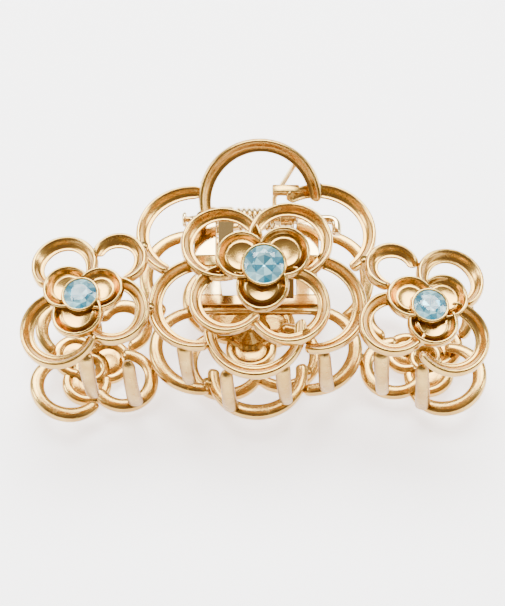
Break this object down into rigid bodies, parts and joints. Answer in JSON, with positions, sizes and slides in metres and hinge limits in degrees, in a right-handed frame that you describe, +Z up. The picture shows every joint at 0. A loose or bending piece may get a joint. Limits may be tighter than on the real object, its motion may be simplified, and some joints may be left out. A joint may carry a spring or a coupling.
{
  "type": "claw hair clip",
  "caption": "Jewelled claw hair clip: two toothed jaws of looped metal petals around set crystals, hinged on one pin and held shut by a torsion spring.",
  "frame": {"origin": "middle of the bounding box, at the surface that the closed clip lies on", "axes": "+X along the hinge pin, -Y towards the teeth, +Z up from the surface, with the front jaw on top"},
  "size_m": [0.076, 0.0438, 0.0314],
  "materials": {
    "cast_gold": "pale gold plating on a polished casting, satin in the hollows",
    "plated_strip": "bright gold plated strip and wire",
    "spring_wire": "gold washed spring wire",
    "crystal": "faceted pale aqua glass with a foiled back"
  },
  "bodies": {
    "rear": {"rear_jaw": "cast_gold", "rear_hinge_bracket": "plated_strip", "rear_centre_blossom": "cast_gold", "rear_centre_bud": "cast_gold", "rear_left_bud": "cast_gold", "rear_right_bud": "cast_gold", "rear_centre_crystal": "crystal", "rear_left_crystal": "crystal", "rear_right_crystal": "crystal", "hinge_pin": "plated_strip", "torsion_spring": "spring_wire"},
    "front": {"front_jaw": "cast_gold", "front_hinge_bracket": "plated_strip", "front_centre_blossom": "cast_gold", "front_centre_bud": "cast_gold", "front_left_bud": "cast_gold", "front_right_bud": "cast_gold", "front_centre_crystal": "crystal", "front_left_crystal": "crystal", "front_right_crystal": "crystal"}
  },
  "joints": [
    {"name": "jaw_hinge", "type": "hinge", "parent": "rear", "child": "front", "pos_m": [0, 0.01231, 0.01585], "axis": [-1, 0, 0], "range_deg": [0, 60], "stiffness_Nm_per_rad": 0.06, "springref_deg": -34.38, "deforming": ["torsion_spring"]}
  ]
}
